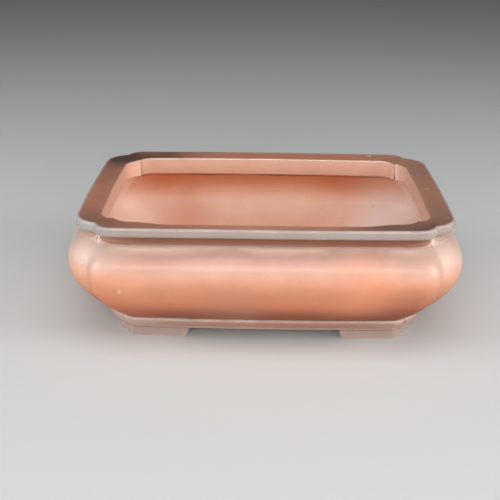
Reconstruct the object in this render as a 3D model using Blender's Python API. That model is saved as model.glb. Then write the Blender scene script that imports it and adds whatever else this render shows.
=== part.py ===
"""Slab-built bonsai pot of unglazed, burnished clay.

The pot is rectangular with an indented lobe at each corner. Its pieces are a floor slab, four bulging
wall slabs, four lip strips with their collar, four base moulding strips and four corner feet. Each ring
of walls, lips and belts is mitred where the two lobes of a corner meet in a valley.

Metres, +Z up. The origin is on the ground under the middle of the pot, and the front faces -Y.
"""

import math
from collections import namedtuple

import bmesh
import bpy

MM = 0.001
GAP = 0.3 * MM                  # between pieces that touch

# Plan size of the lip's outer edge; every other outline is stated as an offset from it
LIP_HALF_LENGTH = 142.5 * MM
LIP_HALF_WIDTH = 106.4 * MM     # where the long edge meets its corner lobes
LONG_EDGE_BOW = 2.2 * MM        # how far the middle of a long edge stands out
SHORT_EDGE_BOW = 0.7 * MM

# Heights
FLOOR_UNDERSIDE = 7.2 * MM      # also the height of the feet
BELT_UNDERSIDE = 10.6 * MM
FLOOR_TOP = 17.2 * MM
BULGE_HEIGHT = 57.7 * MM
COLLAR_BOTTOM = 82.2 * MM       # outside; inside it is a little lower
COLLAR_INNER_BOTTOM = 81.0 * MM
LIP_UNDERSIDE = 89.9 * MM
LIP_OUTER_TOP = 97.0 * MM
LIP_INNER_TOP = 95.0 * MM
WALL_TOP = COLLAR_BOTTOM - GAP
WALL_INNER_TOP = COLLAR_INNER_BOTTOM - GAP
WALL_BOTTOM = FLOOR_TOP + GAP

# Offsets from the lip's outer edge, negative towards the middle of the pot
LIP_INNER = -17.2 * MM
COLLAR_OUTER = -9.5 * MM
SIDE_COLLAR_OUTER = -5.0 * MM   # the lip stands out less on the short sides
WALL_BULGE = 9.9 * MM
WALL_BASE = -20.3 * MM
BELT_FACE = -18.9 * MM
FLOOR_EDGE = -24.3 * MM
FOOT_INNER = -38.5 * MM

# Inner surface of the walls
UNDERCUT = 1.2 * MM             # the wall's top edge is set back under the collar
INSIDE_NECK = LIP_INNER + UNDERCUT
INSIDE_BULGE = 1.4 * MM
INSIDE_BASE = -33.5 * MM
INSIDE_BULGE_ROUND = 50.0 * MM  # radius of the rounded corner inside, in plan
INSIDE_BASE_ROUND = 24.0 * MM

# How the wall swells between its ends and the bulge
SHOULDER_POWER = 4.8
SIDE_SHOULDER_POWER = 2.6       # the short sides slope more evenly up to their collar
INSIDE_SHOULDER_POWER = 1.6
BELLY_POWER = 1.93

# Small roundings
LIP_ROUND = 1.3 * MM
LIP_INNER_ROUND = 1.0 * MM
COLLAR_FILLET = 1.5 * MM
BELT_ROUND = 1.9 * MM
FOOT_CHAMFER = 0.8 * MM

# The feet stop short of the middle of each side, with their ends leaning outwards to the ground
FOOT_END_LONG_TOP = 57.6 * MM
FOOT_END_LONG_GROUND = 60.2 * MM
FOOT_END_SHORT_TOP = 40.0 * MM
FOOT_END_SHORT_GROUND = 42.6 * MM

# Holes in the floor
DRAIN_RADIUS = 11.0 * MM
DRAIN_X = 62.0 * MM
WIRE_RADIUS = 2.5 * MM
WIRE_HOLES = ((0.0, 24.0), (0.0, -24.0), (36.0, 36.0), (-36.0, 36.0), (36.0, -36.0), (-36.0, -36.0))

# Segments
LOBE_STEPS = 6
SIDE_LOBE_STEPS = 7
LONG_STEPS = 4                  # from the middle of a long edge to its lobe
SHORT_STEPS = 3
FOOT_STEPS = 2
PROFILE_STEPS = 6
ROUND_STEPS = 3
HOLE_SEGMENTS = 24

# A corner is two arcs that leave the straight edges and meet in a valley.
# valley_x, valley_y: how far the valley lies in from the short and from the long edge.
# reach_x, reach_y: how far from the valley the arcs begin, along the long and along the short edge.
# trim: how much more the outline is drawn in at its short edges than at its long ones.
Corner = namedtuple("Corner", "valley_x valley_y reach_x reach_y trim")


def corner(valley_x, valley_y, reach_x, reach_y, trim=0.0):
    """Return a Corner from sizes in millimetres."""
    return Corner(valley_x * MM, valley_y * MM, reach_x * MM, reach_y * MM, trim * MM)


def round_corner(radius, trim=0.0):
    """Return the Corner that is one plain round, split at its middle."""
    valley = radius * (1 - math.cos(math.pi / 4))
    reach = radius * math.sin(math.pi / 4)
    return Corner(valley, valley, reach, reach, trim)


LIP_CORNER = corner(16.8, 12.0, 13.5, 21.0)
COLLAR_CORNER = corner(14.0, 9.6, 15.0, 19.0, -4.5)
MOUTH_CORNER = corner(10.7, 8.4, 12.5, 17.0, 1.3)
BULGE_CORNER = corner(21.5, 15.1, 15.5, 40.0)
BASE_CORNER = corner(13.6, 7.2, 9.5, 25.0, 1.2)
BELT_CORNER = corner(13.4, 6.6, 10.5, 24.0, 1.2)
FLOOR_CORNER = corner(8.4, 8.4, 9.0, 16.0, 2.6)
INSIDE_BULGE_CORNER = round_corner(INSIDE_BULGE_ROUND)
INSIDE_BASE_CORNER = round_corner(INSIDE_BASE_ROUND, BASE_CORNER.trim)
FOOT_INNER_CORNER = corner(6.0, 5.0, 7.0, 9.0, 2.6)


def blend(first, second, share):
    """Return the corner that lies the given share of the way from first to second."""
    return Corner(*(a + (b - a) * share for a, b in zip(first, second)))


# A ring is one level line of a piece: an outline offset from the lip's edge, at one height
Ring = namedtuple("Ring", "offset height corner")


# ---------------------------------------------------------------- outlines

def lobe(straight_end, level, reach, depth, steps):
    """Return (along, out) points of the arc from the end of a straight edge in to the valley."""
    radius = (reach ** 2 + depth ** 2) / (2 * depth)
    turn = math.asin(min(1.0, reach / radius))
    if depth > radius:
        turn = math.pi - turn
    points = []
    for i in range(steps + 1):
        angle = turn * i / steps
        points.append((straight_end + radius * math.sin(angle), level - radius * (1 - math.cos(angle))))
    return points


def bowed_edge(start, straight_end, level, bow, steps):
    """Return (along, out) points of a gently bowed edge, from start up to but not at its end."""
    points = []
    for i in range(steps):
        along = start + (straight_end - start) * i / steps
        points.append((along, level + bow * (1 - (along / straight_end) ** 2)))
    return points


def half_sizes(ring):
    """Return a ring's half length and half width."""
    length = LIP_HALF_LENGTH + ring.offset - ring.corner.trim
    return length, LIP_HALF_WIDTH + ring.offset


def long_half(ring, start=0.0, steps=LONG_STEPS):
    """Return the (x, y) points of the +Y edge, from start to the valley at +X."""
    length, level = half_sizes(ring)
    straight_end = length - ring.corner.valley_x - ring.corner.reach_x
    points = bowed_edge(start, straight_end, level, LONG_EDGE_BOW, steps)
    return points + lobe(straight_end, level, ring.corner.reach_x, ring.corner.valley_y, LOBE_STEPS)


def short_half(ring, start=0.0, steps=SHORT_STEPS):
    """Return the (y, x) points of the +X edge, from start to the valley at +Y."""
    level, width = half_sizes(ring)
    straight_end = width - ring.corner.valley_y - ring.corner.reach_y
    points = bowed_edge(start, straight_end, level, SHORT_EDGE_BOW, steps)
    return points + lobe(straight_end, level, ring.corner.reach_y, ring.corner.valley_x, SIDE_LOBE_STEPS)


def both_halves(half):
    """Mirror a half run that starts at the middle of its edge, and join the two."""
    return [(-along, out) for along, out in half[:0:-1]] + half


def mitred(half):
    """Return both halves of a run, each end drawn back from the mitre by half a gap."""
    points = both_halves(half)
    pull = GAP / math.sqrt(2)
    points[0] = (points[0][0] + pull, points[0][1])
    points[-1] = (points[-1][0] - pull, points[-1][1])
    return points


def back_line(ring):
    """Return a ring's line along the back of the pot, from the left valley to the right one."""
    return [(x, y, ring.height) for x, y in mitred(long_half(ring))]


def right_line(ring):
    """Return a ring's line along the right of the pot, from the front valley to the back one."""
    return [(x, y, ring.height) for y, x in mitred(short_half(ring))]


def closed_outline(ring):
    """Return the plan points all the way round a ring, clockwise seen from above."""
    back = both_halves(long_half(ring))
    right = [(x, y) for y, x in reversed(both_halves(short_half(ring)))]
    half = back[:-1] + right[:-1]
    return half + [(-x, -y) for x, y in half]


# ---------------------------------------------------------------- meshes

def new_mesh(name, bm):
    """Turn a bmesh into a mesh with its faces pointing out and smooth shading between sharp edges."""
    bmesh.ops.recalc_face_normals(bm, faces=bm.faces)
    mesh = bpy.data.meshes.new(name)
    bm.to_mesh(mesh)
    bm.free()
    mesh.shade_smooth()
    mesh.set_sharp_from_angle(angle=math.radians(35))
    return mesh


def strip_mesh(name, lines):
    """Skin a piece from the long lines that bound its section, listed in order round the section.

    The first and last lines bound one edge of the section, and the lines pair off from there, so each
    end is closed by a ladder of faces between line k and line -1 - k.
    """
    bm = bmesh.new()
    grid = [[bm.verts.new(point) for point in line] for line in lines]
    count = len(grid)
    for k, line in enumerate(grid):
        following = grid[(k + 1) % count]
        for j in range(len(line) - 1):
            bm.faces.new((line[j], line[j + 1], following[j + 1], following[j]))
    for end in (0, -1):
        for k in range(count // 2):
            rung = (grid[k][end], grid[k + 1][end], grid[-2 - k][end], grid[-1 - k][end])
            corners = list(dict.fromkeys(rung))
            if len(corners) > 2:
                bm.faces.new(corners)
    return new_mesh(name, bm)


def prism_mesh(name, outline, low, high):
    """Return an upright prism over a closed plan outline."""
    bm = bmesh.new()
    base = bm.faces.new([bm.verts.new((x, y, low)) for x, y in outline])
    top = bmesh.ops.extrude_face_region(bm, geom=[base])["geom"]
    verts = [item for item in top if isinstance(item, bmesh.types.BMVert)]
    bmesh.ops.translate(bm, vec=(0, 0, high - low), verts=verts)
    return new_mesh(name, bm)


def rounding(centre_offset, centre_height, radius, start, end, steps=ROUND_STEPS):
    """Return (offset, height) points of a rounded edge, with angles in degrees from straight out."""
    points = []
    for i in range(steps + 1):
        angle = math.radians(start + (end - start) * i / steps)
        offset = centre_offset + radius * math.cos(angle)
        points.append((offset, centre_height + radius * math.sin(angle)))
    return points


# ---------------------------------------------------------------- sections

def swell(height, top, neck, bulge, base, shoulder_power):
    """Return the offset of a wall surface at a height: a shoulder above the bulge, a belly below."""
    if height > BULGE_HEIGHT:
        share = (height - BULGE_HEIGHT) / (top - BULGE_HEIGHT)
        return bulge - (bulge - neck) * share ** shoulder_power
    share = (BULGE_HEIGHT - height) / (BULGE_HEIGHT - WALL_BOTTOM)
    return bulge - (bulge - base) * share ** BELLY_POWER


def wall_heights(top):
    """Return heights from the top of a wall surface to its bottom, closer together near both ends."""
    shares = [math.sin(math.pi / 2 * i / PROFILE_STEPS) for i in range(PROFILE_STEPS + 1)]
    above = [BULGE_HEIGHT + (top - BULGE_HEIGHT) * share for share in reversed(shares)]
    below = [BULGE_HEIGHT - (BULGE_HEIGHT - WALL_BOTTOM) * share for share in shares[1:]]
    return above + below


def wall_surface(top, neck, bulge, base, power, neck_corner, bulge_corner, base_corner):
    """Return one surface of the wall as rings, from its top to its bottom."""
    rings = []
    for height in wall_heights(top):
        offset = swell(height, top, neck, bulge, base, power)
        if height > BULGE_HEIGHT:
            shape = blend(bulge_corner, neck_corner, (bulge - offset) / (bulge - neck))
        else:
            shape = blend(bulge_corner, base_corner, (bulge - offset) / (bulge - base))
        rings.append(Ring(offset, height, shape))
    return rings


def side_sloped(ring):
    """Return a ring of the outside, its short edges drawn in to their own slope above the bulge."""
    if ring.height <= BULGE_HEIGHT:
        return ring
    share = (ring.height - BULGE_HEIGHT) / (WALL_TOP - BULGE_HEIGHT)
    side_offset = WALL_BULGE - (WALL_BULGE - SIDE_COLLAR_OUTER) * share ** SIDE_SHOULDER_POWER
    return ring._replace(corner=ring.corner._replace(trim=ring.offset - side_offset))


def wall_section():
    """Return the wall's rings, down its outside and up its inside."""
    outside = wall_surface(WALL_TOP, COLLAR_OUTER, WALL_BULGE, WALL_BASE, SHOULDER_POWER,
                           COLLAR_CORNER, BULGE_CORNER, BASE_CORNER)
    outside = [side_sloped(ring) for ring in outside]
    inside = wall_surface(WALL_INNER_TOP, INSIDE_NECK, INSIDE_BULGE, INSIDE_BASE, INSIDE_SHOULDER_POWER,
                          MOUTH_CORNER, INSIDE_BULGE_CORNER, INSIDE_BASE_CORNER)
    return outside + inside[::-1]


def lip_section():
    """The collar stands on the wall, and the lip spreads from it with its top sloping inwards."""
    mouth = LIP_INNER_ROUND
    nose = LIP_ROUND
    fillet = COLLAR_FILLET
    middle = (LIP_INNER / 2, (LIP_OUTER_TOP + LIP_INNER_TOP) / 2)
    inner_side = [(LIP_INNER, COLLAR_INNER_BOTTOM)]
    inner_side += rounding(LIP_INNER + mouth, LIP_INNER_TOP - mouth, mouth, 180, 95)
    inner_side += [middle]
    inner_side += rounding(-nose, LIP_OUTER_TOP - nose, nose, 95, 0)
    outer_side = rounding(-nose, LIP_UNDERSIDE + nose, nose, 0, -88)
    outer_side += [(COLLAR_OUTER + 2 * fillet, LIP_UNDERSIDE)]
    outer_side += rounding(COLLAR_OUTER + fillet, LIP_UNDERSIDE - fillet, fillet, 90, 180)
    outer_side += [(COLLAR_OUTER, COLLAR_BOTTOM)]
    rings = [Ring(o, h, blend(LIP_CORNER, MOUTH_CORNER, o / LIP_INNER)) for o, h in inner_side]
    return rings + [Ring(o, h, blend(LIP_CORNER, COLLAR_CORNER, o / COLLAR_OUTER)) for o, h in outer_side]


def belt_section():
    """The moulding is flat where it meets the floor slab and rounded outside."""
    inner = FLOOR_EDGE + GAP
    radius = BELT_ROUND
    points = [(inner, FLOOR_TOP)]
    points += rounding(BELT_FACE - radius, FLOOR_TOP - radius, radius, 90, 0)
    points += rounding(BELT_FACE - radius, BELT_UNDERSIDE + radius, radius, 0, -90)
    points += [(inner, BELT_UNDERSIDE)]
    depth = BELT_FACE - inner
    return [Ring(o, h, blend(BELT_CORNER, FLOOR_CORNER, (BELT_FACE - o) / depth)) for o, h in points]


def foot_section():
    """The foot's outer face is flush with the floor slab, and its bottom outer edge is broken."""
    top = FLOOR_UNDERSIDE - GAP
    return [Ring(FOOT_INNER, top, FOOT_INNER_CORNER),
            Ring(FLOOR_EDGE, top, FLOOR_CORNER),
            Ring(FLOOR_EDGE, FOOT_CHAMFER, FLOOR_CORNER),
            Ring(FLOOR_EDGE - FOOT_CHAMFER, 0.0, FLOOR_CORNER),
            Ring(FOOT_INNER, 0.0, FOOT_INNER_CORNER)]


def foot_line(ring):
    """Return a foot's line round the back right corner, from its long arm to its short one."""
    share = ring.height / (FLOOR_UNDERSIDE - GAP)
    long_end = FOOT_END_LONG_GROUND + (FOOT_END_LONG_TOP - FOOT_END_LONG_GROUND) * share
    short_end = FOOT_END_SHORT_GROUND + (FOOT_END_SHORT_TOP - FOOT_END_SHORT_GROUND) * share
    long_arm = long_half(ring, long_end, FOOT_STEPS)
    short_arm = [(x, y) for y, x in short_half(ring, short_end, FOOT_STEPS)]
    return [(x, y, ring.height) for x, y in long_arm + short_arm[-2::-1]]


# ---------------------------------------------------------------- objects

def clay(name, colour, roughness):
    """Return a plain Principled material in one fired clay colour."""
    material = bpy.data.materials.new(name)
    material.use_nodes = True
    shader = material.node_tree.nodes["Principled BSDF"]
    shader.inputs["Base Color"].default_value = (*colour, 1.0)
    shader.inputs["Roughness"].default_value = roughness
    shader.inputs["Metallic"].default_value = 0.0
    material.diffuse_color = (*colour, 1.0)
    return material


def place(name, mesh, material, pot, turn=0.0):
    """Add one piece to the pot, turned about the pot's middle."""
    piece = bpy.data.objects.new(name, mesh)
    bpy.context.scene.collection.objects.link(piece)
    piece.rotation_euler = (0.0, 0.0, turn)
    piece.parent = pot
    mesh.materials.clear()
    mesh.materials.append(material)
    return piece


def add_ring_of_four(kind, section, colour, roughness, pot):
    """Add the front, back, left and right strips of a ring; opposite strips are half a turn apart."""
    runs = (("back", back_line, 0.0), ("front", back_line, math.pi),
            ("right", right_line, 0.0), ("left", right_line, math.pi))
    for side, line, turn in runs:
        name = f"{kind}_{side}"
        mesh = strip_mesh(name, [line(ring) for ring in section])
        place(name, mesh, clay(f"clay_{name}", colour, roughness), pot, turn)


def add_feet(pot):
    """Add four corner feet. Two of them are the mirror image of the other two."""
    lines = [foot_line(ring) for ring in foot_section()]
    mirrored = [[(-x, y, z) for x, y, z in line] for line in lines]
    feet = (("foot_back_right", lines, 0.0), ("foot_front_left", lines, math.pi),
            ("foot_back_left", mirrored, 0.0), ("foot_front_right", mirrored, math.pi))
    for name, shape, turn in feet:
        mesh = strip_mesh(name, shape)
        place(name, mesh, clay(f"clay_{name}", (0.49, 0.35, 0.31), 0.6), pot, turn)


def add_cutter(name, x, y, radius):
    """Return a hidden upright cylinder through the floor slab."""
    outline = []
    for i in range(HOLE_SEGMENTS):
        angle = 2 * math.pi * i / HOLE_SEGMENTS
        outline.append((x + radius * math.cos(angle), y + radius * math.sin(angle)))
    mesh = prism_mesh(name, outline, FLOOR_UNDERSIDE - 5 * MM, FLOOR_TOP + 5 * MM)
    cutter = bpy.data.objects.new(name, mesh)
    bpy.context.scene.collection.objects.link(cutter)
    cutter.hide_render = True
    cutter.display_type = "WIRE"
    return cutter


def add_floor(pot):
    """Add the floor slab with its drain holes and tie-wire holes."""
    outline = closed_outline(Ring(FLOOR_EDGE, FLOOR_UNDERSIDE, FLOOR_CORNER))
    mesh = prism_mesh("floor_slab", outline, FLOOR_UNDERSIDE, FLOOR_TOP)
    floor = place("floor_slab", mesh, clay("clay_floor_slab", (0.50, 0.27, 0.18), 0.7), pot)
    holes = [(DRAIN_X, 0.0, DRAIN_RADIUS), (-DRAIN_X, 0.0, DRAIN_RADIUS)]
    holes += [(x * MM, y * MM, WIRE_RADIUS) for x, y in WIRE_HOLES]
    for i, (x, y, radius) in enumerate(holes):
        cut = floor.modifiers.new(f"hole_{i}", "BOOLEAN")
        cut.operation = "DIFFERENCE"
        cut.solver = "EXACT"
        cut.object = add_cutter(f"cutter_{i}", x, y, radius)


def main():
    for existing in list(bpy.data.objects):
        bpy.data.objects.remove(existing, do_unlink=True)
    pot = bpy.data.objects.new("pot", None)
    bpy.context.scene.collection.objects.link(pot)
    add_floor(pot)
    add_feet(pot)
    add_ring_of_four("belt", belt_section(), (0.52, 0.38, 0.34), 0.55, pot)
    add_ring_of_four("wall", wall_section(), (0.68, 0.32, 0.19), 0.45, pot)
    add_ring_of_four("lip", lip_section(), (0.25, 0.13, 0.09), 0.42, pot)


main()
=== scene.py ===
"""Looks of the slab-built bonsai pot: burnished, unglazed clay in soft studio light.

Every visible piece stands for one CAD node and has its size and place. All the pieces of one kind are cut
from the same closed rings, so the strips of a ring meet flush at the mitres, as luted clay does.
Metres, +Z up, front towards -Y.
"""

import math
from collections import namedtuple

import bmesh
import bpy
import numpy as np
from mathutils import Matrix, Vector
from mathutils.geometry import delaunay_2d_cdt


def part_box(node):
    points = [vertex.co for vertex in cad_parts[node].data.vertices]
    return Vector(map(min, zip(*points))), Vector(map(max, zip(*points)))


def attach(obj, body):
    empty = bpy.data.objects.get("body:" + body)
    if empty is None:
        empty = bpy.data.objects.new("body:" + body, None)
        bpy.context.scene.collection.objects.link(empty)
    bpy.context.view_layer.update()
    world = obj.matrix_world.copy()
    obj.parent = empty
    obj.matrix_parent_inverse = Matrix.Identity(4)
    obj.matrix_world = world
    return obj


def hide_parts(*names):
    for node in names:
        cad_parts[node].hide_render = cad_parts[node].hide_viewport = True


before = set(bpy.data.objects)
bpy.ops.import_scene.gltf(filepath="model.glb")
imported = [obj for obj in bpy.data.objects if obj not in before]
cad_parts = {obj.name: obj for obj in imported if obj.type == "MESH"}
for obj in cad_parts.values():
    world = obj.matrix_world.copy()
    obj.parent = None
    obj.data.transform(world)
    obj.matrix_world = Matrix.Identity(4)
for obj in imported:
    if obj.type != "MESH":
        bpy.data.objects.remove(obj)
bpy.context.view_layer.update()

MM = 0.001

# ---------------------------------------------------------------- sizes

LONG_EDGE_BOW = 2.2 * MM        # how far the middle of a long edge stands out
SHORT_EDGE_BOW = 0.7 * MM
LIP_REACH = Vector((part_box("lip_right")[1].x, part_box("lip_back")[1].y, 0.0))
LIP_HALF_LENGTH = LIP_REACH.x - SHORT_EDGE_BOW
LIP_HALF_WIDTH = LIP_REACH.y - LONG_EDGE_BOW

# Heights
FLOOR_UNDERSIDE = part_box("floor_slab")[0].z
FLOOR_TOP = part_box("floor_slab")[1].z
BELT_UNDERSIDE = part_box("belt_back")[0].z
WALL_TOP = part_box("wall_back")[1].z
LIP_OUTER_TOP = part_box("lip_back")[1].z
LIP_INNER_TOP = LIP_OUTER_TOP - 2.0 * MM
LIP_UNDERSIDE = LIP_OUTER_TOP - 7.1 * MM
BULGE_HEIGHT = 57.7 * MM
SEAM = 0.02 * MM                # between pieces that are luted together
WALL_BOTTOM = FLOOR_TOP + SEAM
WALL_INNER_TOP = WALL_TOP - 1.2 * MM

# Offsets from the lip's outer edge, negative towards the middle of the pot
LIP_INNER = -17.2 * MM
COLLAR_OUTER = -9.5 * MM
SIDE_COLLAR_OUTER = -5.0 * MM   # the lip stands out less on the short sides
WALL_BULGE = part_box("wall_back")[1].y - LIP_REACH.y
WALL_BASE = -20.3 * MM
BELT_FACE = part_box("belt_back")[1].y - LIP_REACH.y
FLOOR_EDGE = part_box("floor_slab")[1].y - LIP_REACH.y
FOOT_INNER = -38.5 * MM
INSIDE_NECK = LIP_INNER + 1.2 * MM
INSIDE_BULGE = 1.4 * MM
INSIDE_BASE = -33.5 * MM

SHOULDER_POWER = 4.8
SIDE_SHOULDER_POWER = 2.6       # the short sides slope more evenly up to their collar
INSIDE_SHOULDER_POWER = 1.6
BELLY_POWER = 1.93

# Where the feet end on each side of the pot, at their tops and on the ground
FOOT_END_LONG = (57.6 * MM, 60.2 * MM)
FOOT_END_SHORT = (40.0 * MM, 42.6 * MM)
FOOT_ROUND = 0.8 * MM

# Holes in the floor: x, y, radius
HOLES = [(62.0, 0.0, 11.0), (-62.0, 0.0, 11.0), (0.0, 24.0, 2.5), (0.0, -24.0, 2.5)]
HOLES += [(x, y, 2.5) for x in (-36.0, 36.0) for y in (-36.0, 36.0)]

# valley_x, valley_y: how far a corner's valley lies in from the short and from the long edge.
# reach_x, reach_y: how far from the valley its two arcs begin. trim: extra inset of the short edges.
# soft: how much the valley is smoothed.
Corner = namedtuple("Corner", "valley_x valley_y reach_x reach_y trim soft")
Ring = namedtuple("Ring", "offset height corner")


def corner(*sizes):
    """Return a Corner from sizes in millimetres."""
    return Corner(*(size * MM for size in sizes))


def round_corner(radius, trim, soft):
    """Return the Corner that is one plain round, split at its middle."""
    valley = radius * (1 - math.cos(math.pi / 4))
    reach = radius * math.sin(math.pi / 4)
    return corner(valley, valley, reach, reach, trim, soft)


LIP_CORNER = corner(16.8, 12.0, 13.5, 21.0, 0.0, 2.0)
COLLAR_CORNER = corner(14.0, 9.6, 15.0, 19.0, -4.5, 1.2)
MOUTH_CORNER = corner(10.7, 8.4, 12.5, 17.0, 1.3, 0.9)
BULGE_CORNER = corner(21.5, 15.1, 15.5, 40.0, 0.0, 1.3)
BASE_CORNER = corner(13.6, 7.2, 9.5, 25.0, 1.2, 0.9)
BELT_CORNER = corner(13.4, 6.6, 10.5, 24.0, 1.2, 0.7)
FLOOR_CORNER = corner(8.4, 8.4, 9.0, 16.0, 2.6, 0.7)
INSIDE_BULGE_CORNER = round_corner(50.0, 0.0, 1.0)
INSIDE_BASE_CORNER = round_corner(24.0, 1.2, 1.0)
FOOT_INNER_CORNER = corner(6.0, 5.0, 7.0, 9.0, 2.6, 0.7)


def blend(first, second, share):
    """Return the corner that lies the given share of the way from first to second."""
    return Corner(*(a + (b - a) * share for a, b in zip(first, second)))


# ---------------------------------------------------------------- rings

DENSE = 160                     # points on each half of a run before it is resampled
FINE_STEP = 0.55 * MM           # spacing of points near the valleys and the small marks
COARSE_STEP = 1.7 * MM
FINE_REACH = 30.0 * MM


def stations(length, marks=()):
    """Return shares of a run's length, closer together at both ends and round the marks."""
    place = np.linspace(0.0, length, 4000)
    near = (place < FINE_REACH) | (place > length - FINE_REACH)
    for mark, reach in marks:
        near |= abs(abs(place - length / 2) - mark) < reach
    density = np.where(near, 1 / FINE_STEP, 1 / COARSE_STEP)
    total = np.concatenate([[0.0], np.cumsum((density[1:] + density[:-1]) / 2 * np.diff(place))])
    count = int(total[-1]) + 1
    return np.interp(np.linspace(0.0, total[-1], count), total, place) / length


LONG_STATIONS = stations(2 * LIP_HALF_LENGTH, [(87 * MM, 5 * MM)])
SHORT_STATIONS = stations(2 * LIP_HALF_WIDTH)


def run_points(straight_end, level, bow, reach, depth):
    """Return a dense run along one side, from valley to valley, as (along, out) rows."""
    along = np.linspace(0.0, straight_end, DENSE, endpoint=False)
    edge = np.stack([along, level + bow * (1 - (along / straight_end) ** 2)], axis=1)
    radius = (reach ** 2 + depth ** 2) / (2 * depth)
    turn = math.asin(min(1.0, reach / radius))
    if depth > radius:
        turn = math.pi - turn
    angle = np.linspace(0.0, turn, DENSE)
    arc = np.stack([straight_end + radius * np.sin(angle), level - radius * (1 - np.cos(angle))], axis=1)
    half = np.concatenate([edge, arc])
    return np.concatenate([half[:0:-1] * (-1, 1), half])


def resample(points, shares):
    """Return the points at the given shares of a polyline's length."""
    steps = np.linalg.norm(np.diff(points, axis=0), axis=1)
    place = np.concatenate([[0.0], np.cumsum(steps)])
    return np.stack([np.interp(shares * place[-1], place, column) for column in points.T], axis=1)


def smooth(closed, soft):
    """Smooth a closed run of points with a bell of the given width, counted in fine steps."""
    width = soft / FINE_STEP
    reach = int(3 * width) + 1
    bell = np.exp(-0.5 * (np.arange(-reach, reach + 1) / width) ** 2)
    bell /= bell.sum()
    padded = np.concatenate([closed[-reach:], closed, closed[:reach]])
    return np.stack([np.convolve(column, bell, mode="valid") for column in padded.T], axis=1)


def outline(ring):
    """Return the closed plan outline of a ring: back, right, front, then left, without repeats."""
    length = LIP_HALF_LENGTH + ring.offset - ring.corner.trim
    width = LIP_HALF_WIDTH + ring.offset
    c = ring.corner
    back = run_points(length - c.valley_x - c.reach_x, width, LONG_EDGE_BOW, c.reach_x, c.valley_y)
    right = run_points(width - c.valley_y - c.reach_y, length, SHORT_EDGE_BOW, c.reach_y, c.valley_x)
    back = resample(back, LONG_STATIONS)
    right = resample(right, SHORT_STATIONS)[::-1, ::-1]
    half = np.concatenate([back[:-1], right[:-1]])
    return smooth(np.concatenate([half, -half]), c.soft)


def ramped(values, start, end):
    """Return 0 before start, 1 after end, and an eased rise between them."""
    share = np.clip((values - start) / (end - start), 0.0, 1.0)
    return share * share * (3 - 2 * share)


MOUTH_CUT = 5.5 * MM


def front_mouth(x, y, z):
    """Return 1 along the mouth's edge near its front corners, and less further away."""
    beside = ramped(abs(x), 72 * MM, 98 * MM) * ramped(-abs(x), -124 * MM, -109 * MM)
    before = ramped(-y, 55 * MM, 76 * MM) * ramped(y, -101 * MM, -87 * MM)
    return beside * before * ramped(z, 62 * MM, 84 * MM)


def wander(points):
    """Let the hand-cut clay stray a little inwards and down from its true shape.

    The rim droops at its front left corner, and the front corners of the mouth are cut rounder.
    """
    x, y, z = points[..., 0], points[..., 1], points[..., 2]
    in_x = 0.5 + 0.5 * np.sin(31 * y + 22 * z + 0.8) * np.cos(47 * z - 19 * y)
    in_y = 0.5 + 0.5 * np.sin(27 * x + 1.9) * np.cos(16 * x - 38 * z + 0.6)
    down = 0.5 + 0.3 * np.sin(24 * x + 9 * y + 0.4) + 0.2 * np.sin(51 * x - 33 * y + 2.0)
    droop = ramped(-x, 20 * MM, LIP_HALF_LENGTH) * ramped(-y, 0.0, LIP_HALF_WIDTH)
    rim = ramped(z, BULGE_HEIGHT, WALL_TOP)
    x = x * (1 - 0.0016 * in_x)
    y = y * (1 - 0.0018 * in_y) + MOUTH_CUT * front_mouth(x, y, z)
    z = z * (1 - 0.0012 * down - 0.010 * droop * rim)
    return np.stack([x, y, z], axis=-1)


def ring_grid(rings, lifts=None):
    """Return the points of a stack of rings, as an array of ring by place by xyz.

    lifts raise each ring by so much at the valleys, and less to either side of them.
    """
    flat = np.stack([outline(ring) for ring in rings])
    heights = np.array([ring.height for ring in rings])
    heights = np.repeat(heights[:, None], flat.shape[1], axis=1)
    if lifts is not None:
        heights = heights + np.array(lifts)[:, None] * near_valleys(flat[0])[None, :]
    return wander(np.concatenate([flat, heights[..., None]], axis=-1))


def near_valleys(line):
    """Return 1 at the valleys of a closed line and less further along it."""
    long_steps, short_steps = len(LONG_STATIONS) - 1, len(SHORT_STATIONS) - 1
    valleys = np.cumsum([0, long_steps, short_steps, long_steps])
    away = np.linalg.norm(line[:, None] - line[valleys][None], axis=-1).min(axis=1)
    return 0.75 * np.exp(-(away / FILL_WIDTH) ** 2) + 0.25 * np.exp(-(away / FILL_SKIRT) ** 2)


def grid_normals(grid):
    """Return an outward normal for each point of a grid that closes both along and round its section."""
    across = np.roll(grid, -1, axis=0) - np.roll(grid, 1, axis=0)
    along = np.roll(grid, -1, axis=1) - np.roll(grid, 1, axis=1)
    normals = np.cross(along, across)
    return normals / np.maximum(np.linalg.norm(normals, axis=-1, keepdims=True), 1e-12)


SIDES = ("back", "right", "front", "left")


def side_slice(array, side):
    """Cut one side out of an array that goes all the way round, with both of its valleys."""
    long_steps = len(LONG_STATIONS) - 1
    short_steps = len(SHORT_STATIONS) - 1
    starts = {"back": 0, "right": long_steps, "front": long_steps + short_steps,
              "left": 2 * long_steps + short_steps}
    steps = long_steps if side in ("back", "front") else short_steps
    places = (starts[side] + np.arange(steps + 1)) % array.shape[1]
    return array[:, places]


# ---------------------------------------------------------------- sections

# A section point: offset, height, tone (a place on its material's colour ramp) and wear (0 to 1): edge
# wear, and painted highlight along rounded edges
Spot = namedtuple("Spot", "offset height tone wear")


def straight(start, end, steps, tones, wear=0.0, hollow=0.0):
    """Return spots along a line, without its end, sunk by hollow at the middle."""
    spots = []
    for i in range(steps):
        share = i / steps
        sink = hollow * 4 * share * (1 - share)
        offset = start[0] + (end[0] - start[0]) * share
        height = start[1] + (end[1] - start[1]) * share - sink
        spots.append(Spot(offset, height, tones[0] + (tones[1] - tones[0]) * share, wear))
    return spots


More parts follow.
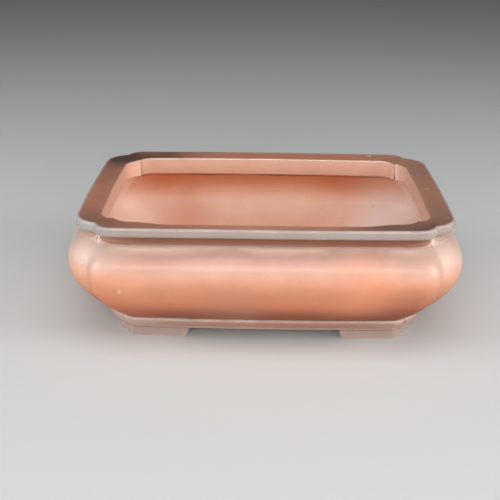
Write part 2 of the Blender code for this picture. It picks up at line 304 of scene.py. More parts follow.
def rounding(centre, radius, start, end, steps, tones, wear=0.0):
    """Return spots round an arc, with angles in degrees from straight out and most wear and painted
    highlight at its middle.
    """
    spots = []
    for i in range(steps + 1):
        share = i / steps
        angle = math.radians(start + (end - start) * share)
        spots.append(Spot(centre[0] + radius * math.cos(angle), centre[1] + radius * math.sin(angle),
                          tones[0] + (tones[1] - tones[0]) * share, wear * math.sin(math.pi * share)))
    return spots


def swell(height, top, neck, bulge, base, shoulder_power):
    """Return the offset of a wall surface at a height: a shoulder above the bulge, a belly below."""
    if height > BULGE_HEIGHT:
        share = (height - BULGE_HEIGHT) / (top - BULGE_HEIGHT)
        return bulge - (bulge - neck) * min(share, 1.0) ** shoulder_power
    share = (BULGE_HEIGHT - height) / (BULGE_HEIGHT - WALL_BOTTOM)
    return bulge - (bulge - base) * min(share, 1.0) ** BELLY_POWER


def side_trim(height, offset):
    """Return how much further in than its long edges the wall's short edges lie, above the bulge."""
    share = (height - BULGE_HEIGHT) / (WALL_TOP - BULGE_HEIGHT)
    return offset - WALL_BULGE + (WALL_BULGE - SIDE_COLLAR_OUTER) * share ** SIDE_SHOULDER_POWER


def shoulder_height(offset):
    """Return the height at which the wall's outer shoulder has an offset."""
    share = ((WALL_BULGE - offset) / (WALL_BULGE - COLLAR_OUTER)) ** (1 / SHOULDER_POWER)
    return BULGE_HEIGHT + (WALL_TOP - BULGE_HEIGHT) * share


FILL_HEIGHT = 4.0 * MM          # clay pressed into the corner of shoulder and collar at each valley
FILL_REACH = 5.5 * MM
FILL_WIDTH = 3.8 * MM
FILL_SKIRT = 14.0 * MM          # a low skirt of it runs on along the collar


def fill_lift(offset):
    """Return how much the fill lifts the shoulder at a valley, at an offset."""
    spread = min(max((offset - COLLAR_OUTER) / FILL_REACH, 0.0), 1.0)
    return FILL_HEIGHT * (1 - spread) ** 1.5


def collar_lifts(spots):
    """Return how much the fill lifts each spot of the lip: only the collar's foot and face."""
    top = LIP_UNDERSIDE - COLLAR_FILLET
    lifts = [0.0] * len(spots)
    for i, spot in enumerate(spots[:-1]):
        if spot.tone > 0.9:
            lifts[i] = fill_lift(spot.offset) * min((top - spot.height) / (top - WALL_TOP), 1.0)
    return lifts


LIP_NOSE = 1.9 * MM
LIP_NOSE_UNDER = 1.7 * MM
LIP_MOUTH = 1.1 * MM
COLLAR_FILLET = 1.5 * MM
COLLAR_FLARE = 0.9 * MM
COLLAR_EDGE = 0.45 * MM
LIP_DISH = 0.12 * MM
SETTLE = 0.2 * MM               # a straight stretch begins this far past the rounding before it


def lip_corner(spot):
    """Return the corner of a spot on the lip: underneath it draws in to the collar, on top to the mouth."""
    if spot.tone > 0.8:
        return blend(LIP_CORNER, COLLAR_CORNER, min(max(spot.offset / COLLAR_OUTER, 0.0), 1.0))
    return blend(LIP_CORNER, MOUTH_CORNER, min(max(spot.offset / LIP_INNER, 0.0), 1.0))


def mouth_spots():
    """Return the lip's spots up the collar's inner face and over the mouth's edge."""
    inner, bottom, top = LIP_INNER, WALL_INNER_TOP + SEAM, LIP_INNER_TOP - LIP_MOUTH
    edge = (inner + COLLAR_EDGE, bottom + COLLAR_EDGE)
    spots = rounding(edge, COLLAR_EDGE, 270, 180, 4, (0.0, 0.03), 0.1)
    spots += straight((inner, bottom + 0.6 * MM), (inner, top), 12, (0.03, 0.22))
    return spots + rounding((inner + LIP_MOUTH, top), LIP_MOUTH, 180, 96, 6, (0.22, 0.3), 1.0)


def rim_spots():
    """Return the lip's spots over its slightly dished top, round its nose and back under it."""
    nose_top, nose_low = LIP_OUTER_TOP - LIP_NOSE, LIP_UNDERSIDE + LIP_NOSE_UNDER
    spots = straight((LIP_INNER + LIP_MOUTH + 0.3 * MM, LIP_INNER_TOP + 0.04 * MM),
                     (-LIP_NOSE - 0.3 * MM, LIP_OUTER_TOP - 0.03 * MM), 16, (0.31, 0.6), 0.0, LIP_DISH)
    spots += rounding((-LIP_NOSE, nose_top), LIP_NOSE, 95, 0, 8, (0.6, 0.7), 0.35)
    spots += straight((0.0, nose_top - SETTLE), (0.0, nose_low + SETTLE), 5, (0.7, 0.78))
    spots += rounding((-LIP_NOSE_UNDER, nose_low), LIP_NOSE_UNDER, 0, -90, 7, (0.78, 0.84), 0.3)
    return spots + straight((-LIP_NOSE_UNDER - SETTLE, LIP_UNDERSIDE),
                            (COLLAR_OUTER + COLLAR_FILLET, LIP_UNDERSIDE), 5, (0.84, 0.88))


def collar_spots():
    """Return the lip's spots down the collar's outer face and into its flare on the shoulder."""
    outer, top, flare = COLLAR_OUTER, LIP_UNDERSIDE - COLLAR_FILLET, COLLAR_OUTER + COLLAR_FLARE
    foot = shoulder_height(flare)
    spots = rounding((outer + COLLAR_FILLET, top), COLLAR_FILLET, 90, 180, 5, (0.88, 0.9))
    spots += straight((outer, top - SETTLE), (outer, foot + COLLAR_FLARE), 8, (0.9, 0.97))
    spots += rounding((flare, foot + COLLAR_FLARE), COLLAR_FLARE, 180, 268, 7, (0.97, 1.0))
    return spots + [Spot(flare, foot - 0.05 * MM, 1.0, 0.0), Spot(outer, WALL_TOP - SEAM, 1.0, 0.0)]


def lip_section():
    """The collar stands on the shoulder in a small flare, and the lip spreads from it."""
    return mouth_spots() + rim_spots() + collar_spots(), lip_corner


WALL_STEPS = 34
SHOULDER_SOFT = 5.0 * MM        # the valleys fade out towards the collar
INSIDE_STEPS = 24
COVE = 4.0 * MM                 # the fillet of clay where the wall meets the floor inside
WALL_EDGE_DEPTH = WALL_TOP - WALL_BOTTOM


def wall_heights(top, steps):
    """Return heights from the top of a wall surface to its bottom, closer together near both ends."""
    shares = np.sin(np.pi / 2 * np.linspace(0.0, 1.0, steps + 1))
    above = BULGE_HEIGHT + (top - BULGE_HEIGHT) * shares[::-1]
    below = BULGE_HEIGHT - (BULGE_HEIGHT - WALL_BOTTOM) * shares[1:]
    return [float(height) for height in np.concatenate([above, below])]


def cove(height):
    """Return how far the inner foot of the wall runs out over the floor at a height."""
    rise = height - FLOOR_TOP
    if rise >= COVE:
        return 0.0
    return COVE - math.sqrt(max(COVE ** 2 - (COVE - rise) ** 2, 0.0))


def wall_rings():
    """Return the wall's rings, down its outside and up its inside, with their tones and lifts."""
    rings, tones, lifts = [Ring(COLLAR_OUTER, WALL_TOP, COLLAR_CORNER)], [0.5], [0.0]
    for height in wall_heights(WALL_TOP, WALL_STEPS):
        offset = swell(height, WALL_TOP, COLLAR_OUTER, WALL_BULGE, WALL_BASE, SHOULDER_POWER)
        if height > BULGE_HEIGHT:
            shape = blend(BULGE_CORNER, COLLAR_CORNER, (WALL_BULGE - offset) / (WALL_BULGE - COLLAR_OUTER))
            rise = ramped(height, BULGE_HEIGHT, WALL_TOP)
            shape = shape._replace(trim=side_trim(height, offset), soft=shape.soft + SHOULDER_SOFT * rise)
        else:
            shape = blend(BULGE_CORNER, BASE_CORNER, (WALL_BULGE - offset) / (WALL_BULGE - WALL_BASE))
        rings.append(Ring(offset, height, shape))
        tones.append(0.48 * (height - WALL_BOTTOM) / WALL_EDGE_DEPTH)
        lifts.append(fill_lift(offset) if height > BULGE_HEIGHT else 0.0)
    for height in wall_heights(WALL_INNER_TOP, INSIDE_STEPS)[::-1]:
        offset = swell(height, WALL_INNER_TOP, INSIDE_NECK, INSIDE_BULGE, INSIDE_BASE,
                       INSIDE_SHOULDER_POWER)
        if height > BULGE_HEIGHT:
            share = (INSIDE_BULGE - offset) / (INSIDE_BULGE - INSIDE_NECK)
            shape = blend(INSIDE_BULGE_CORNER, MOUTH_CORNER, share)
        else:
            share = (INSIDE_BULGE - offset) / (INSIDE_BULGE - INSIDE_BASE)
            shape = blend(INSIDE_BULGE_CORNER, INSIDE_BASE_CORNER, share)
        rings.append(Ring(offset - cove(height), height, shape))
        tones.append(1.0 - 0.48 * (height - WALL_BOTTOM) / WALL_EDGE_DEPTH)
        lifts.append(0.0)
    return rings, tones, lifts


BELT_ROUND = 2.1 * MM


def belt_section():
    """The moulding is flat where it meets the floor slab and rounded outside."""
    inner = FLOOR_EDGE + SEAM
    low, high, face = BELT_UNDERSIDE, FLOOR_TOP - SEAM, BELT_FACE
    spots = straight((inner, high), (face - BELT_ROUND, high), 4, (0.0, 0.3))
    spots += rounding((face - BELT_ROUND, high - BELT_ROUND), BELT_ROUND, 90, 0, 8, (0.3, 0.5), 0.65)
    spots += rounding((face - BELT_ROUND, low + BELT_ROUND), BELT_ROUND, 0, -90, 8, (0.6, 0.8), 0.3)
    spots += straight((face - BELT_ROUND - 0.2 * MM, low), (inner, low), 4, (0.8, 1.0))
    spots += [Spot(inner, low, 1.0, 0.0)]
    depth = face - inner
    return spots, lambda spot: blend(BELT_CORNER, FLOOR_CORNER, (face - spot.offset) / depth)


def section_rings(section):
    """Turn a section into rings, tones, and edge wear with painted highlight."""
    spots, shape = section()
    rings = [Ring(spot.offset, spot.height, shape(spot)) for spot in spots]
    return rings, [spot.tone for spot in spots], [spot.wear for spot in spots]


# ---------------------------------------------------------------- meshes

def add_attribute(mesh, name, values):
    """Store one number for each point of a mesh."""
    attribute = mesh.attributes.new(name, "FLOAT", "POINT")
    attribute.data.foreach_set("value", np.asarray(values, np.float32).ravel())


KEEP_INSIDE, CAP_TOLERANCE = 1, 1e-6    # for the triangulation of a strip's end


def cap_faces(loop, index):
    """Return triangles that close the end of a strip and wind as its section does."""
    flat = np.stack([np.hypot(loop[:, 0], loop[:, 1]), loop[:, 2]], axis=1) / MM
    after = np.roll(flat, -1, axis=0)
    turn = 1 if np.sum(flat[:, 0] * after[:, 1] - flat[:, 1] * after[:, 0]) > 0 else -1
    points = [Vector(point) for point in flat.tolist()]
    filled = delaunay_2d_cdt(points, [], [list(range(len(points)))], KEEP_INSIDE, CAP_TOLERANCE)
    faces, sources = filled[2], filled[3]
    return [[int(index[sources[corner][0]]) for corner in face][::turn] for face in faces]


def strip_faces(grid, flat_ends):
    """Return the faces of a grid closed round its section, with caps of one face or of triangles."""
    rings, places = grid.shape[:2]
    index = np.arange(rings * places).reshape(rings, places)
    following = np.roll(index, -1, axis=0)
    quads = np.stack([index[:, :-1], index[:, 1:], following[:, 1:], following[:, :-1]], axis=-1)
    faces = quads.reshape(-1, 4).tolist()
    if flat_ends:
        return faces + [index[:, 0].tolist(), index[::-1, -1].tolist()]
    faces += cap_faces(grid[:, 0], index[:, 0])
    return faces + [face[::-1] for face in cap_faces(grid[:, -1], index[:, -1])]


SHARP_ARRIS = math.radians(40)  # edges turn sharply on a foot from this angle on, and on the floor slab
SHARP_SLAB_EDGE = math.radians(14)


def grid_mesh(name, grid, tones, wears_and_highlights, normals=None, flat_ends=False):
    """Skin a grid of section by place, closed round the section and capped at both ends."""
    places = grid.shape[1]
    mesh = bpy.data.meshes.new(name)
    mesh.from_pydata(grid.reshape(-1, 3).tolist(), [], strip_faces(grid, flat_ends))
    add_attribute(mesh, "tone", np.repeat(np.asarray(tones)[:, None], places, axis=1))
    add_attribute(mesh, "wear", np.repeat(np.asarray(wears_and_highlights)[:, None], places, axis=1))
    bm = bmesh.new()
    bm.from_mesh(mesh)
    if bm.calc_volume(signed=True) < 0:
        bmesh.ops.reverse_faces(bm, faces=bm.faces)
    bm.to_mesh(mesh)
    bm.free()
    mesh.shade_smooth()
    if normals is None:
        mesh.set_sharp_from_angle(angle=SHARP_ARRIS)
    else:
        outward = normals.reshape(-1, 3)
        facing = sum(np.dot(outward[face.vertices[0]], face.normal) for face in mesh.polygons)
        mesh.normals_split_custom_set_from_vertices((outward if facing > 0 else -outward).tolist())
    return mesh


def linked(name, data):
    """Return a new object in the scene, with the given mesh, light or camera."""
    made = bpy.data.objects.new(name, data)
    bpy.context.scene.collection.objects.link(made)
    return made


def add_piece(name, mesh, material):
    """Add a piece in place of the CAD node of its name."""
    piece = linked(name + "_clay", mesh)
    mesh.materials.clear()
    mesh.materials.append(material)
    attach(piece, "root")
    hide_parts(name)
    return piece


# Marks of the hand, all in millimetres. Each runs from one place to another and has a radius, a depth
# (negative for a blob) and a shade (1 for dark, -1 for pale).
Mark = namedtuple("Mark", "kind start end radius depth shade")
JOINT_MARKS = [Mark("lip", (114.9, 80.2, 95.2), (115.8, 79.4, 81.0), 1.5, 0.7, 0.5),
               # A pale ridge beside the joint, painted as a highlight
               Mark("lip", (116.9, 78.2, 95.0), (117.8, 77.4, 81.0), 2.0, -0.5, -0.35),
               Mark("lip", (115.6, 79.5, 83.0), (115.8, 79.4, 82.0), 1.4, 0.7, 0.5),
               Mark("lip", (-112.4, 82.7, 95.0), (-112.1, 82.8, 81.0), 1.7, 0.5, 0.3),
               # A pale ridge beside the joint, painted as a highlight
               Mark("lip", (-114.4, 81.0, 95.0), (-114.1, 81.2, 81.0), 2.0, -0.4, -0.3),
               Mark("lip", (123.4, -99.8, 95.1), (124.6, -99.0, 94.0), 2.0, -0.4, -0.5),
               Mark("belt", (108.7, -80.2, 18.0), (109.2, -80.7, 12.0), 1.3, 0.7, 0.7)]
# The pits' dark colour is painted shade in their dents.
PITS = [Mark("lip", (79.5, -92.0, 94.8), (81.0, -91.6, 94.8), 1.4, 0.4, 0.9),
        Mark("wall", (-124.6, -88.5, 82.9), (-124.8, -88.8, 81.8), 1.5, 0.7, 0.9),
        Mark("wall", (122.9, -92.6, 81.2), (123.0, -92.8, 79.8), 1.4, 0.7, 0.9)]
SPECKS = [Mark("lip", (132.2, 3.0, 95.8), (133.4, 4.0, 95.8), 1.3, 0.0, -0.7),
          Mark("lip", (127.0, 45.0, 95.8), (127.0, 46.0, 95.8), 1.0, 0.0, -0.5),
          Mark("lip", (93.8, 101.4, 96.4), (95.4, 101.4, 96.4), 1.6, 0.0, -0.8),
          Mark("wall", (-105.7, -115.5, 50.6), (-105.7, -115.5, 51.4), 1.3, 0.0, -1.0),
          Mark("wall", (100.2, 104.8, 47.8), (101.4, 104.8, 47.8), 1.8, 0.0, 0.5),
          Mark("wall", (115.4, 100.5, 48.6), (115.9, 100.3, 48.6), 1.2, 0.0, 0.35)]
MARKS = JOINT_MARKS + PITS + SPECKS


def mark_shares(grid, mark):
    """Return how strongly a mark touches each point of a grid, from 0 to 1."""
    start, end = np.array(mark.start) * MM, np.array(mark.end) * MM
    line = end - start
    along = np.clip((grid - start) @ line / (line @ line), 0.0, 1.0)
    distance = np.linalg.norm(grid - start - along[..., None] * line, axis=-1)
    return ramped(distance, mark.radius * MM, 0.0)


def press_marks(kind, grid, normals):
    """Press the small marks of a kind into its grid. Return the grid and the shade of each point."""
    pressed, shades = grid.copy(), np.zeros(grid.shape[:2])
    for mark in MARKS:
        if mark.kind == kind:
            share = mark_shares(grid, mark)
            pressed -= normals * (share * mark.depth * MM)[..., None]
            shades += share * mark.shade
    return pressed, np.clip(shades, -1.0, 1.0)


def add_ring_of_four(kind, rings, tones, wears_and_highlights, materials, lifts=None):
    """Add the four strips of a ring, which share the points of their mitres."""
    grid = ring_grid(rings, lifts)
    normals = grid_normals(grid)
    pressed, shades = press_marks(kind, grid, normals)
    for side in SIDES:
        name = f"{kind}_{side}"
        mesh = grid_mesh(name, side_slice(pressed, side), tones, wears_and_highlights, side_slice(normals, side))
        add_attribute(mesh, "shade", side_slice(shades, side))
        add_piece(name, mesh, materials[side])


def foot_section():
    """The foot's section: flat on top and inside, with rounded edges on the ground."""
    top = FLOOR_UNDERSIDE - SEAM
    r = FOOT_ROUND
    spots = straight((FOOT_INNER, top), (FLOOR_EDGE, top), 10, (0.0, 0.2))
    spots += straight((FLOOR_EDGE, top), (FLOOR_EDGE, r), 10, (0.3, 0.7))
    spots += rounding((FLOOR_EDGE - r, r), r, 0, -90, 5, (0.7, 0.8), 1.0)
    spots += straight((FLOOR_EDGE - r - 0.4 * MM, 0.0), (FOOT_INNER + r, 0.0), 10, (0.8, 1.0))
    spots += rounding((FOOT_INNER + r, r), r, -90, -180, 5, (1.0, 1.0), 0.6)
    spots += straight((FOOT_INNER, r + 0.3 * MM), (FOOT_INNER, top), 8, (1.0, 1.0))
    return spots


def foot_corner(offset):
    """Return the corner of a foot's outline at an offset."""
    return blend(FLOOR_CORNER, FOOT_INNER_CORNER, (FLOOR_EDGE - offset) / (FLOOR_EDGE - FOOT_INNER))


def foot_run(offset, height, shares):
    """Return one line of the back right foot, from its long arm to its short one."""
    closed = outline(Ring(offset, height, foot_corner(offset)))
    long_steps = len(LONG_STATIONS) - 1
    lean = height / FLOOR_UNDERSIDE
    long_end = FOOT_END_LONG[1] + (FOOT_END_LONG[0] - FOOT_END_LONG[1]) * lean
    short_end = FOOT_END_SHORT[1] + (FOOT_END_SHORT[0] - FOOT_END_SHORT[1]) * lean
    back, right = closed[:long_steps + 1], closed[long_steps + 1:long_steps + len(SHORT_STATIONS)]
    start = np.array([[long_end, np.interp(long_end, back[:, 0], back[:, 1])]])
    end = np.array([[np.interp(short_end, right[::-1, 1], right[::-1, 0]), short_end]])
    points = np.concatenate([start, back[back[:, 0] > long_end], right[right[:, 1] > short_end], end])
    line = resample(points, shares)
    return np.concatenate([line, np.full((len(line), 1), height)], axis=1)


FOOT_RUN = 150 * MM             # about the length of a foot's outline


def foot_grid():
    """Return the back right foot's grid, with its two ends rounded over, and its spots."""
    spots = foot_section()
    flat = np.array([(spot.offset, spot.height) for spot in spots])
    tangent = np.roll(flat, -1, axis=0) - np.roll(flat, 1, axis=0)
    inward = np.stack([tangent[:, 1], -tangent[:, 0]], axis=1)
    inward /= np.linalg.norm(inward, axis=1, keepdims=True)
    if np.sum(inward * (flat.mean(axis=0) - flat)) < 0:
        inward = -inward
    inset = flat + inward * FOOT_ROUND
    angles = np.radians(np.linspace(0, 90, 6))
    ends = FOOT_ROUND * (1 - np.cos(angles)) / FOOT_RUN
    middle = np.linspace(ends[-1], 1 - ends[-1], int(FOOT_RUN / FINE_STEP))
    shares = np.concatenate([ends[:-1], middle, 1 - ends[-2::-1]])
    drawn_in = 1 - np.sin(angles[:-1])
    drawn_in = np.concatenate([drawn_in, np.zeros(len(middle)), drawn_in[::-1]])
    outer = np.stack([foot_run(offset, height, shares) for offset, height in flat])
    inner = np.stack([foot_run(offset, height, shares) for offset, height in inset])
    return wander(outer + (inner - outer) * drawn_in[None, :, None]), spots


def add_feet(material):
    """Add the four feet, turned and mirrored from one grid."""
    grid, spots = foot_grid()
    tones = [spot.tone for spot in spots]
    wears_and_highlights = [spot.wear for spot in spots]
    turns = {"back_right": (1, 1), "back_left": (-1, 1), "front_right": (1, -1), "front_left": (-1, -1)}
    for name, (turn_x, turn_y) in turns.items():
        mesh = grid_mesh(name, grid * (turn_x, turn_y, 1), tones, wears_and_highlights, flat_ends=True)
        add_piece(f"foot_{name}", mesh, material)


def prism(outline_points, low, high):
    """Return a mesh of an upright prism over a closed outline."""
    bm = bmesh.new()
    base = bm.faces.new([bm.verts.new((x, y, low)) for x, y in outline_points])
    top = bmesh.ops.extrude_face_region(bm, geom=[base])["geom"]
    verts = [item for item in top if isinstance(item, bmesh.types.BMVert)]
    bmesh.ops.translate(bm, vec=(0, 0, high - low), verts=verts)
    bmesh.ops.recalc_face_normals(bm, faces=bm.faces)
    mesh = bpy.data.meshes.new("prism")
    bm.to_mesh(mesh)
    bm.free()
    return mesh


HOLE_SEGMENTS = 64
HOLE_ROUND = 0.7 * MM
CUT_PAST = 5 * MM               # how far a cutter runs past both faces of the slab


def cut_hole(slab, x, y, radius):
    """Cut a round hole, given in millimetres, and return its cutter."""
    angles = np.linspace(0, 2 * np.pi, HOLE_SEGMENTS, endpoint=False)
    ring = np.stack([x + radius * np.cos(angles), y + radius * np.sin(angles)], axis=1) * MM
    cutter = linked("cutter", prism(ring.tolist(), FLOOR_UNDERSIDE - CUT_PAST, FLOOR_TOP + CUT_PAST))
    cut = slab.modifiers.new("hole", "BOOLEAN")
    cut.operation = "DIFFERENCE"
    cut.solver = "EXACT"
    cut.object = cutter
    return cutter


def ease_edges(slab):
    """Round every sharp edge of the slab over."""
    ease = slab.modifiers.new("ease", "BEVEL")
    ease.width = HOLE_ROUND
    ease.segments = 3
    ease.limit_method = "ANGLE"
    ease.angle_limit = math.radians(50)
    ease.use_clamp_overlap = False


def add_floor(material):
    """Add the floor slab, with its holes cut and every edge eased."""
    closed = outline(Ring(FLOOR_EDGE, FLOOR_UNDERSIDE, FLOOR_CORNER))[::3]
    slab = linked("slab", prism(closed.tolist(), FLOOR_UNDERSIDE, FLOOR_TOP - SEAM))
    cutters = [cut_hole(slab, *hole) for hole in HOLES]
    ease_edges(slab)
    bpy.context.view_layer.update()
    evaluated = slab.evaluated_get(bpy.context.evaluated_depsgraph_get())
    mesh = bpy.data.meshes.new_from_object(evaluated)
    for made in [slab] + cutters:
        bpy.data.objects.remove(made, do_unlink=True)
    mesh.shade_smooth()
    mesh.set_sharp_from_angle(angle=SHARP_SLAB_EDGE)
    heights = np.array([vertex.co.z for vertex in mesh.vertices])
    add_attribute(mesh, "tone", (heights - FLOOR_UNDERSIDE) / (FLOOR_TOP - FLOOR_UNDERSIDE))
    add_attribute(mesh, "wear", np.zeros(len(heights)))
    add_piece("floor_slab", mesh, material)


# ---------------------------------------------------------------- materials

def node(tree, kind, inputs=None, **settings):
    """Add a shader node, set it up, and set or link its inputs."""
    made = tree.nodes.new(kind)
    for name, value in settings.items():
        setattr(made, name, value)
    for name, value in (inputs or {}).items():
        if isinstance(value, bpy.types.NodeSocket):
            tree.links.new(value, made.inputs[name])
        else:
            made.inputs[name].default_value = value
    return made


def noise(tree, place, scale, detail=3.0, rough=0.5, stretch=None):
    """Return a noise value between about 0.3 and 0.7, stretched along an axis if asked."""
    if stretch:
        place = node(tree, "ShaderNodeVectorMath", {0: place, 1: stretch}, operation="MULTIPLY").outputs[0]
    made = node(tree, "ShaderNodeTexNoise",
                {"Vector": place, "Scale": scale, "Detail": detail, "Roughness": rough})
    return made.outputs["Fac"]


def ranged(tree, value, start, end, low=0.0, high=1.0):
    """Map a value from one range to another, clamped and eased."""
    limits = {"Value": value, "From Min": start, "From Max": end, "To Min": low, "To Max": high}
    return node(tree, "ShaderNodeMapRange", limits, interpolation_type="SMOOTHSTEP").outputs["Result"]


def attribute(tree, name):
    """Return a number stored on the mesh."""
    return node(tree, "ShaderNodeAttribute", attribute_name=name).outputs["Fac"]


def math_node(tree, operation, first, second=0.0):
    """Combine two values."""
    return node(tree, "ShaderNodeMath", {0: first, 1: second}, operation=operation).outputs[0]


def times(tree, first, second):
    """Multiply two values."""
    return math_node(tree, "MULTIPLY", first, second)


def mixed(tree, share, first, second, way="MIX"):
    """Mix two colours."""
    made = node(tree, "ShaderNodeMix", data_type="RGBA", blend_type=way)
    for socket, value in ((made.inputs[0], share), (made.inputs[6], first), (made.inputs[7], second)):
        if isinstance(value, bpy.types.NodeSocket):
            tree.links.new(value, socket)
        else:
            socket.default_value = value
    return made.outputs[2]


def ramp(tree, value, stops):
    """Return the colour at a value on a ramp of (place, colour) stops."""
    made = node(tree, "ShaderNodeValToRGB", {"Fac": value})
    band = made.color_ramp
    band.interpolation = "CARDINAL"
    while len(band.elements) < len(stops):
        band.elements.new(0.5)
    for element, (place, colour) in zip(band.elements, stops):
        element.position = place
        element.color = (*colour, 1.0)
    return made.outputs["Color"]


ALONG_X = (14.0, 520.0, 520.0)
ALONG_Y = (520.0, 14.0, 520.0)
NO_GRAIN = (300.0, 300.0, 300.0)

# Colours with their alpha, for the mixers
BLUSH = (0.93, 0.86, 0.82, 1.0)
# Pale for worn edges, and for painted highlights along rounded edges
WORN_AND_HIGHLIT_EDGE = (0.66, 0.55, 0.49, 1.0)
# Near black for dark joints and specks, and for painted shade in the pits
DARK_MARK_AND_PIT_SHADE = (0.10, 0.04, 0.025, 1.0)
# Pale for specks and a smear, and for painted highlights on two joint ridges
SPECK_AND_RIDGE_HIGHLIGHT = (0.86, 0.78, 0.72, 1.0)
DOT_COLOUR = (0.16, 0.075, 0.05, 1.0)

TONE_FADE = 0.02                # how softly a stain or wear stops at its limiting tone
RAGGED = 0.2                    # how far a stain's border wanders, as a share of its radius


def clay_colour(tree, tone, stops, mottle, cloud, streak, fine):
    """Return the ramp's colour by tone, mottled, streaked and gritty."""
    shifted = math_node(tree, "ADD", tone, ranged(tree, mottle, 0.3, 0.7, -0.008, 0.008))
    blushed = ranged(tree, mottle, 0.35, 0.7, 0.0, 0.5)
    colour = mixed(tree, blushed, ramp(tree, shifted, stops), BLUSH, "MULTIPLY")
    light = ranged(tree, cloud, 0.3, 0.7, 0.97, 1.03)
    grained = ranged(tree, streak, 0.3, 0.7, 0.985, 1.015)
    grit = ranged(tree, fine, 0.3, 0.7, 0.975, 1.025)
    level = times(tree, times(tree, light, grained), grit)
    return node(tree, "ShaderNodeVectorMath", {0: colour, "Scale": level}, operation="SCALE").outputs[0]


def with_patches(tree, colour, place, tone, mottle, patches):
    """Lay the stains, painted shade and painted highlights over a colour. Each keeps between its two tones
    and has a soft, ragged border.
    """
    for centre, radius, patch_colour, strength, (low, high) in patches:
        inside = times(tree, ranged(tree, tone, low - TONE_FADE, low + TONE_FADE),
                       ranged(tree, tone, high + TONE_FADE, high - TONE_FADE))
        distance = node(tree, "ShaderNodeVectorMath", {0: place, 1: centre}, operation="DISTANCE")
        wander_by = ranged(tree, mottle, 0.3, 0.7, -RAGGED * radius, RAGGED * radius)
        away = math_node(tree, "ADD", distance.outputs["Value"], wander_by)
        share = times(tree, ranged(tree, away, radius, 0.0, 0.0, strength), inside)
        colour = mixed(tree, share, colour, (*patch_colour, 1.0))
    return colour


def edge_wear_and_highlight(tree, tone, cloud, wear_and_highlight_from):
    """Return the edge wear with its painted highlight, from 0 to 1: patchy, and only where the tone is
    above wear_and_highlight_from.
    """
    worn_and_lit = times(tree, attribute(tree, "wear"), ranged(tree, cloud, 0.35, 0.65, 0.35, 0.9))
    return times(tree, worn_and_lit, ranged(tree, tone, wear_and_highlight_from - TONE_FADE, wear_and_highlight_from + TONE_FADE))


def dots(tree, place):
    """Return 1 at the middle of small iron dots, strewn sparsely, and 0 between them."""
    cells = node(tree, "ShaderNodeTexVoronoi", {"Vector": place, "Scale": 130.0, "Randomness": 1.0})
    lot = node(tree, "ShaderNodeSeparateColor", {"Color": cells.outputs["Color"]}).outputs[0]
    chosen = ranged(tree, lot, 0.90, 0.94)
    return times(tree, ranged(tree, cells.outputs["Distance"], 0.09, 0.045), chosen)


def clay(name, stops, grain, roughness=0.46, patches=(), wear_and_highlight_from=-1.0):
    """Return burnished clay: colour by tone, stains, worn edges, marks, iron dots and burnishing streaks,
    with painted light and shade in its ramps, patches, edges and pits.

    patches are (place, radius, colour, strength, tones): stains left by the flame, painted shade and
    painted highlights.
    """
    material = bpy.data.materials.new(name)
    material.use_nodes = True
    tree = material.node_tree
    shader = tree.nodes["Principled BSDF"]
    place = node(tree, "ShaderNodeTexCoord").outputs["Object"]
    tone, shade = attribute(tree, "tone"), attribute(tree, "shade")
    mottle = noise(tree, place, 16.0, 3.0, 0.55)
    cloud = noise(tree, place, 48.0, 4.0, 0.6)
    streak = noise(tree, place, 1.0, 2.0, 0.5, grain)
    fine = noise(tree, place, 900.0, 2.0, 0.6)
    worn_and_lit, dot = edge_wear_and_highlight(tree, tone, cloud, wear_and_highlight_from), dots(tree, place)

    colour = clay_colour(tree, tone, stops, mottle, cloud, streak, fine)
    colour = with_patches(tree, colour, place, tone, mottle, patches)
    # Worn edges, which also carry painted highlights along rounded edges
    colour = mixed(tree, worn_and_lit, colour, WORN_AND_HIGHLIT_EDGE)
    # Dark marks: dark joints and specks, and painted shade in the pits
    colour = mixed(tree, ranged(tree, shade, 0.0, 1.0), colour, DARK_MARK_AND_PIT_SHADE)
    # Pale marks: specks, a smear, and painted highlights on two joint ridges
    colour = mixed(tree, ranged(tree, shade, 0.0, -1.0), colour, SPECK_AND_RIDGE_HIGHLIGHT)
    colour = mixed(tree, times(tree, dot, 0.5), colour, DOT_COLOUR)
    tree.links.new(colour, shader.inputs["Base Color"])

    rough = math_node(tree, "ADD", ranged(tree, streak, 0.3, 0.7, roughness - 0.05, roughness + 0.05),
                      ranged(tree, cloud, 0.3, 0.7, -0.03, 0.05))
    rough = math_node(tree, "ADD", rough, times(tree, worn_and_lit, 0.12))
    tree.links.new(rough, shader.inputs["Roughness"])
    shader.inputs["Specular IOR Level"].default_value = 0.5
    shader.inputs["Coat Weight"].default_value = 0.0

    relief = math_node(tree, "ADD", times(tree, fine, 0.35), times(tree, streak, 0.5))
    relief = math_node(tree, "SUBTRACT", relief, times(tree, dot, 0.8))
    bump = node(tree, "ShaderNodeBump", {"Height": relief, "Strength": 0.35, "Distance": 0.00012})
    tree.links.new(bump.outputs["Normal"], shader.inputs["Normal"])
    return material


